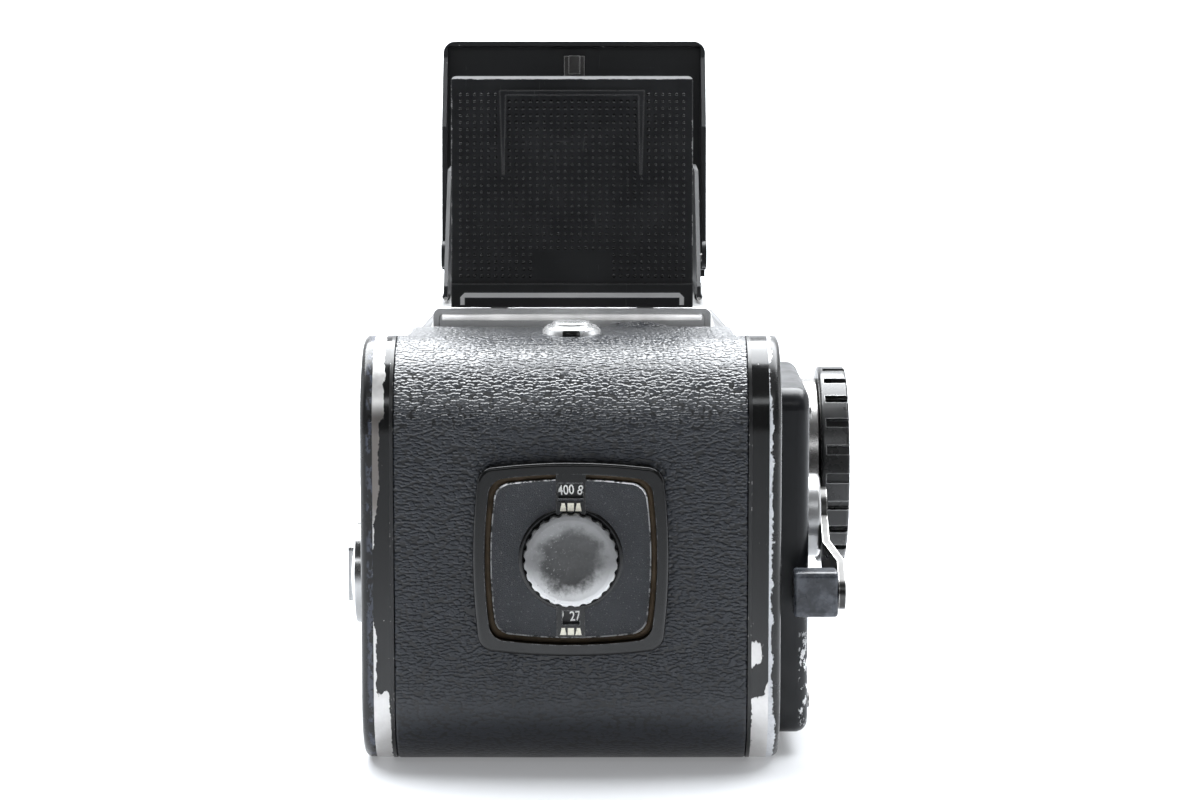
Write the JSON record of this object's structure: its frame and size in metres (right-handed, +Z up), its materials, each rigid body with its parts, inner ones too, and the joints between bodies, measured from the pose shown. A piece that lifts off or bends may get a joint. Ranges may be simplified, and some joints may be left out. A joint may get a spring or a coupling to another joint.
{
  "type": "medium format reflex camera",
  "caption": "Box-bodied medium-format reflex camera with open folding waist-level hood, wind lever, ribbed dial, lens and leather-wrapped roll-film magazine.",
  "frame": {"origin": "centre of the tripod socket's mouth, on the underside of the body", "axes": "+Z up, the lens looks along -Y, the film magazine is at +Y, the winding side is at -X"},
  "size_m": [0.116, 0.1575, 0.1603],
  "materials": {
    "black_alloy": "black enamel, semi-gloss",
    "hood_paint": "satin",
    "leather": "matte",
    "bright_chrome": "polished",
    "steel": "satin",
    "gear_brass": "satin",
    "clear_glass": "polished",
    "mirror_silver": "polished",
    "grip_rubber": "matte",
    "dial_aluminium": "satin",
    "dial_gloss": "glossy",
    "wrinkle_paint": "matte wrinkle",
    "black_plastic": "matte",
    "film_base": "glossy",
    "curtain_cloth": "matte"
  },
  "bodies": {
    "camera_body": {"body_casting": "black_alloy", "front_plate": "black_alloy", "base_plate": "black_alloy", "tripod_bush": "steel", "left_side_cover": "black_alloy", "right_side_cover": "black_alloy", "top_cover": "black_alloy", "screen_frame": "black_alloy", "focusing_screen": "clear_glass", "mirror_hinge_pin": "steel", "shutter_frame": "black_alloy", "shutter_curtains": "curtain_cloth", "strap_lugs": "bright_chrome", "winding_side_housing": "black_alloy", "mechanism_plate": "steel", "speed_dial_boss": "black_alloy", "lens_mount_ring": "bright_chrome", "cover_screws": "steel"},
    "mirror": {"mirror_carrier": "black_alloy", "mirror_glass": "mirror_silver"},
    "upper_roller": {"upper_curtain_roller": "steel"},
    "lower_roller": {"lower_curtain_roller": "steel"},
    "wind_lever": {"crank_hub": "bright_chrome", "crank_arm": "steel", "wind_gear": "gear_brass"},
    "wind_grip": {"crank_handle": "grip_rubber"},
    "shutter_wheel": {"shutter_gear": "gear_brass"},
    "speed_knob": {"speed_dial": "dial_gloss"},
    "shutter_button": {"release_button": "bright_chrome"},
    "lens_catch": {"lens_release_lever": "bright_chrome"},
    "finder": {"finder_base": "bright_chrome", "hood_hinge_pins": "steel"},
    "lid": {"hood_lid": "hood_paint"},
    "lid_latch": {"hood_latch": "bright_chrome"},
    "magnifier": {"magnifier_frame": "hood_paint", "magnifier_lens": "clear_glass"},
    "rear_panel": {"hood_rear_panel": "hood_paint"},
    "left_flap": {"hood_side_left": "hood_paint"},
    "right_flap": {"hood_side_right": "hood_paint"},
    "lens": {"lens_barrel": "black_alloy"},
    "aperture": {"aperture_ring": "dial_aluminium"},
    "focus": {"focus_ring": "black_alloy"},
    "optics": {"front_barrel": "black_alloy", "lens_elements": "clear_glass"},
    "magazine": {"magazine_frame": "black_alloy", "magazine_shell": "black_alloy", "magazine_leather": "leather", "magazine_bands": "black_alloy", "magazine_side_covers": "black_alloy", "film_dial_bezel": "dial_gloss", "film_dial_plate": "wrinkle_paint", "film_strip": "film_base"},
    "slide_sheet": {"dark_slide": "steel"},
    "film_pad": {"pressure_plate": "steel"},
    "film_dial": {"film_dial_knob": "dial_aluminium", "number_disc": "black_plastic"},
    "supply": {"supply_spool": "black_plastic"},
    "takeup": {"takeup_spool": "black_plastic"},
    "opening_key": {"magazine_key": "bright_chrome"},
    "magazine_catch": {"magazine_button": "bright_chrome"}
  },
  "joints": [
    {"name": "mirror_flip", "type": "hinge", "parent": "camera_body", "child": "mirror", "pos_m": [0, 0.0075, 0.0876], "axis": [-1, 0, 0], "range_deg": [0, 45]},
    {"name": "curtain_wind", "type": "hinge", "parent": "camera_body", "child": "upper_roller", "pos_m": [0, 0.0166, 0.0861], "axis": [1, 0, 0], "range_deg": [0, 360]},
    {"name": "curtain_follow", "type": "hinge", "parent": "camera_body", "child": "lower_roller", "pos_m": [0, 0.0166, 0.0156], "axis": [1, 0, 0], "range_deg": [0, 360]},
    {"name": "crank_turn", "type": "hinge", "parent": "camera_body", "child": "wind_lever", "pos_m": [-0.056, 0.027, 0.0531], "axis": [1, 0, 0], "range_deg": [0, 60]},
    {"name": "grip_spin", "type": "hinge", "parent": "wind_lever", "child": "wind_grip", "pos_m": [-0.055, 0.0522, 0.03936], "axis": [1, 0, 0], "continuous": true},
    {"name": "shutter_wheel_turn", "type": "hinge", "parent": "camera_body", "child": "shutter_wheel", "pos_m": [-0.05, -0.003, 0.0606], "axis": [1, 0, 0], "range_deg": [-30, 0]},
    {"name": "speed_turn", "type": "hinge", "parent": "camera_body", "child": "speed_knob", "pos_m": [-0.06, -0.003, 0.0606], "axis": [1, 0, 0], "range_deg": [-150, 150]},
    {"name": "release_press", "type": "slide", "parent": "camera_body", "child": "shutter_button", "axis": [0, 1, 0], "range_m": [0, 0.002]},
    {"name": "lens_catch_slide", "type": "slide", "parent": "camera_body", "child": "lens_catch", "axis": [0, 0, -1], "range_m": [0, 0.003]},
    {"name": "finder_lift", "type": "slide", "parent": "camera_body", "child": "finder", "axis": [0, 0, 1], "range_m": [0, 0.03]},
    {"name": "hood_fold", "type": "hinge", "parent": "finder", "child": "lid", "pos_m": [0, -0.042, 0.1071], "axis": [-1, 0, 0], "range_deg": [0, 96]},
    {"name": "latch_slide", "type": "slide", "parent": "lid", "child": "lid_latch", "axis": [0, 0.1045, -0.9945], "range_m": [0, 0.001]},
    {"name": "magnifier_swing", "type": "hinge", "parent": "lid", "child": "magnifier", "pos_m": [0, -0.05588, 0.12625], "axis": [1, 0, 0], "range_deg": [-90, 0]},
    {"name": "rear_panel_fold", "type": "hinge", "parent": "finder", "child": "rear_panel", "pos_m": [0, 0.0182, 0.104], "axis": [1, 0, 0], "range_deg": [0, 86]},
    {"name": "left_flap_fold", "type": "hinge", "parent": "finder", "child": "left_flap", "pos_m": [0.0297, 0, 0.1022], "axis": [0, -1, 0], "range_deg": [0, 90]},
    {"name": "right_flap_fold", "type": "hinge", "parent": "finder", "child": "right_flap", "pos_m": [-0.0297, 0, 0.1022], "axis": [0, 1, 0], "range_deg": [0, 90]},
    {"name": "lens_twist", "type": "hinge", "parent": "camera_body", "child": "lens", "pos_m": [0, -0.06, 0.0516], "axis": [0, 1, 0], "range_deg": [0, 60]},
    {"name": "aperture_turn", "type": "hinge", "parent": "lens", "child": "aperture", "pos_m": [0, -0.068, 0.0516], "axis": [0, 1, 0], "range_deg": [0, 60]},
    {"name": "focus_turn", "type": "hinge", "parent": "lens", "child": "focus", "pos_m": [0, -0.08, 0.0516], "axis": [0, 1, 0], "range_deg": [0, 180]},
    {"name": "focus_travel", "type": "slide", "parent": "lens", "child": "optics", "axis": [0, -1, 0], "range_m": [0, 0.008]},
    {"name": "magazine_slide", "type": "slide", "parent": "camera_body", "child": "magazine", "axis": [0, 1, 0], "range_m": [0, 0.05]},
    {"name": "dark_slide_pull", "type": "slide", "parent": "magazine", "child": "slide_sheet", "axis": [1, 0, 0], "range_m": [0, 0.078]},
    {"name": "film_pad_lift", "type": "slide", "parent": "magazine", "child": "film_pad", "axis": [0, 1, 0], "range_m": [0, 0.001]},
    {"name": "film_dial_turn", "type": "hinge", "parent": "magazine", "child": "film_dial", "pos_m": [0, 0.062, 0.0489], "axis": [0, 1, 0], "range_deg": [-150, 150]},
    {"name": "supply_turn", "type": "hinge", "parent": "magazine", "child": "supply", "pos_m": [0, 0.043, 0.0241], "axis": [1, 0, 0], "range_deg": [0, 90]},
    {"name": "takeup_turn", "type": "hinge", "parent": "magazine", "child": "takeup", "pos_m": [0, 0.043, 0.0746], "axis": [1, 0, 0], "range_deg": [0, 90]},
    {"name": "key_turn", "type": "hinge", "parent": "magazine", "child": "opening_key", "pos_m": [0.046, 0.042, 0.0422], "axis": [1, 0, 0], "range_deg": [0, 90]},
    {"name": "magazine_catch_press", "type": "slide", "parent": "magazine", "child": "magazine_catch", "axis": [0, 0, -1], "range_m": [0, 0.002]}
  ],
  "couplings": [
    {"joint": "curtain_follow", "follows": "curtain_wind", "ratio": 1},
    {"joint": "shutter_wheel_turn", "follows": "crank_turn", "ratio": -0.5},
    {"joint": "takeup_turn", "follows": "crank_turn", "ratio": 1.5},
    {"joint": "supply_turn", "follows": "crank_turn", "ratio": 1.5},
    {"joint": "rear_panel_fold", "follows": "hood_fold", "ratio": 0.8958},
    {"joint": "left_flap_fold", "follows": "hood_fold", "ratio": 0.9375},
    {"joint": "right_flap_fold", "follows": "hood_fold", "ratio": 0.9375},
    {"joint": "focus_travel", "follows": "focus_turn", "m_per_rad": 0.002546}
  ]
}
